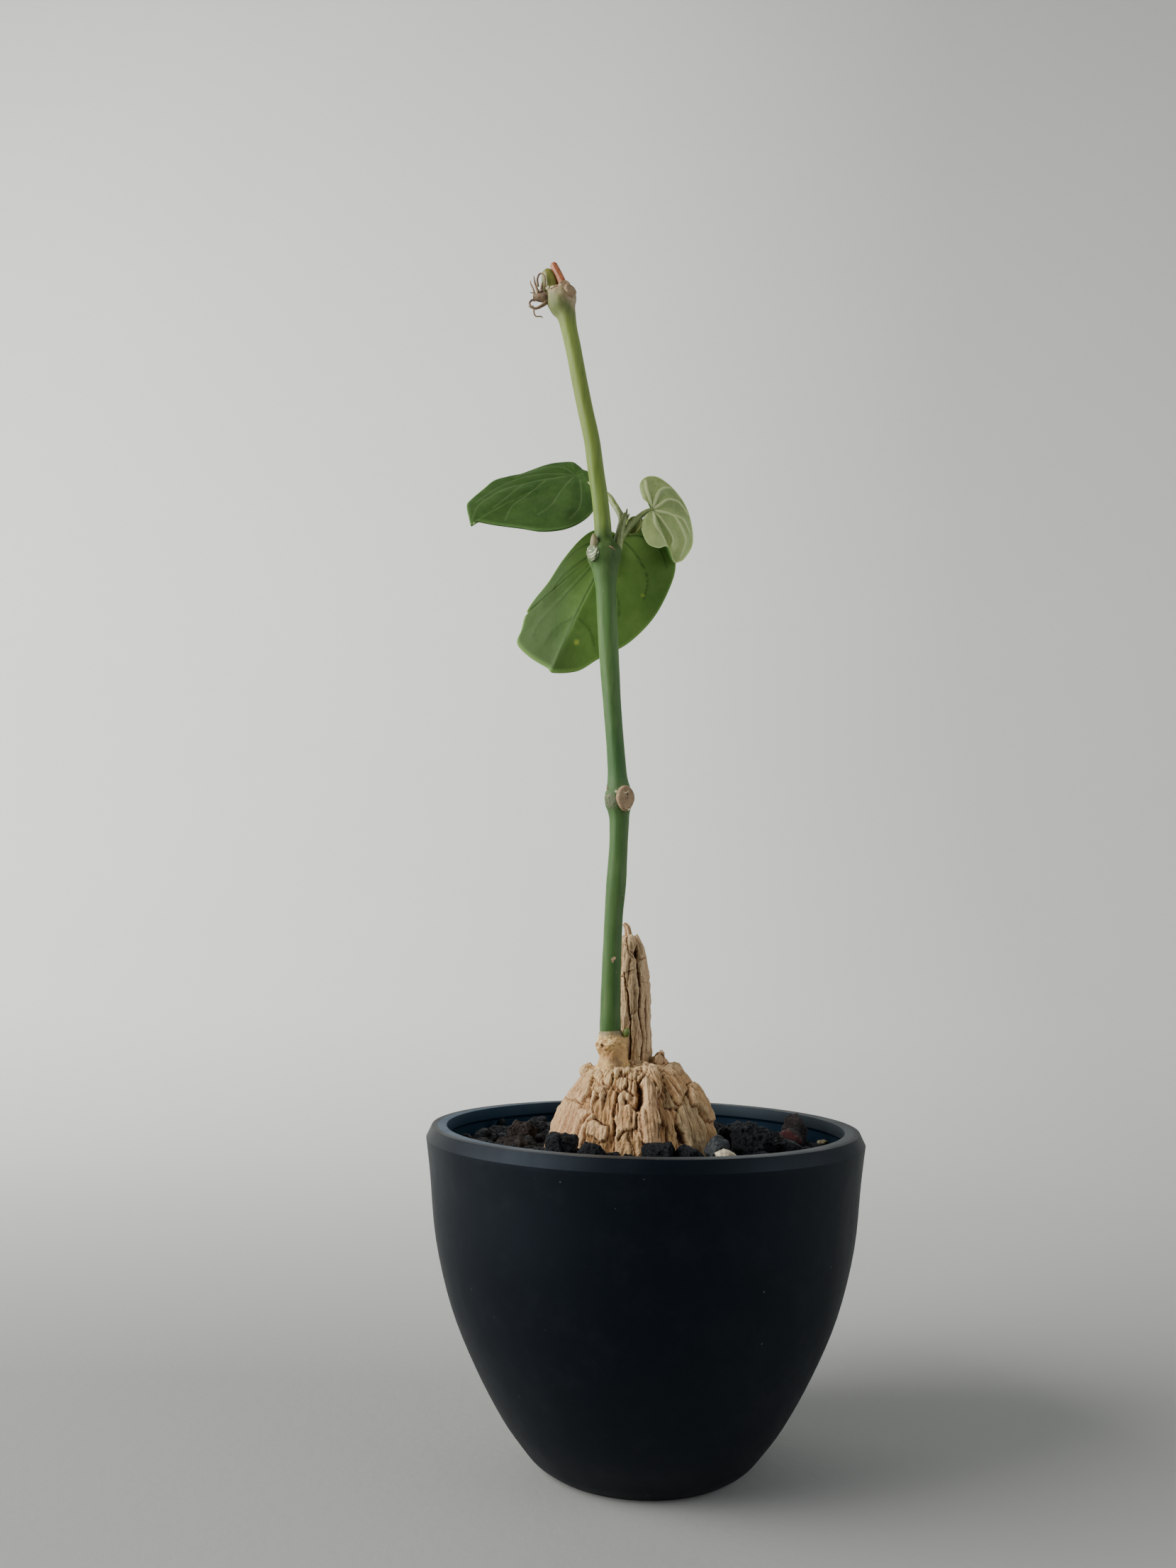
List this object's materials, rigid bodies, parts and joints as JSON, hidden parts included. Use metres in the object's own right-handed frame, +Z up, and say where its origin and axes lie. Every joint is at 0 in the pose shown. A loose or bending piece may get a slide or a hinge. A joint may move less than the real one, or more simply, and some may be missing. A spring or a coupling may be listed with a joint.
{
  "type": "potted matelea",
  "caption": "Potted corky-tubered vine: a bark-covered dome with an old stump and one bare upright stem with leaves, bedded in lava gravel in a dark plastic pot.",
  "frame": {"origin": "middle of the pot's foot, on the surface it stands on", "axes": "+Z up along the pot's axis, -Y towards the front of the plant, +X to the right"},
  "size_m": [0.115, 0.115, 0.3276],
  "materials": {
    "pot_plastic": "matte near-black plastic with a slight sheen and fine dust",
    "potting_mix": "dark crumbly potting mix",
    "lava_black": "rough pitted charcoal lava",
    "lava_brown": "rough brown lava",
    "lava_grey": "grey-brown lava",
    "lava_red": "dull red lava",
    "pebble": "smooth dark grey pebble",
    "pale_chip": "pale cream stone chip",
    "cork_bark": "pale tan corky bark with deep fissures",
    "green_stem": "smooth green stem with a slight bloom",
    "orange_stub": "orange leaf-stalk stub",
    "bud": "pinkish tan bud scales",
    "young_growth": "olive green young growth",
    "dried_flower": "dry purple-brown flower remains",
    "leaf_upper": "satin green leaf with paler veins",
    "leaf_under": "pale green leaf underside with raised veins"
  },
  "bodies": {
    "root": {"pot": "pot_plastic", "potting_mix": "potting_mix", "lava_gravel": "lava_black", "lava_stone_brown_back": "lava_brown", "lava_stone_brown_front": "lava_brown", "lava_stone_tall": "lava_grey", "lava_stone_red": "lava_red", "pebble_grey": "pebble", "chip_pale_front": "pale_chip", "chip_pale_right": "pale_chip", "caudex": "cork_bark", "main_stem": "green_stem", "orange_stub": "orange_stub", "axillary_bud": "bud", "basal_bud": "young_growth", "dried_flower": "dried_flower", "side_shoot": "green_stem", "leaf_left": "leaf_upper", "leaf_large": "leaf_upper", "leaf_right": "leaf_under", "young_leaf": "young_growth"}
  },
  "joints": []
}
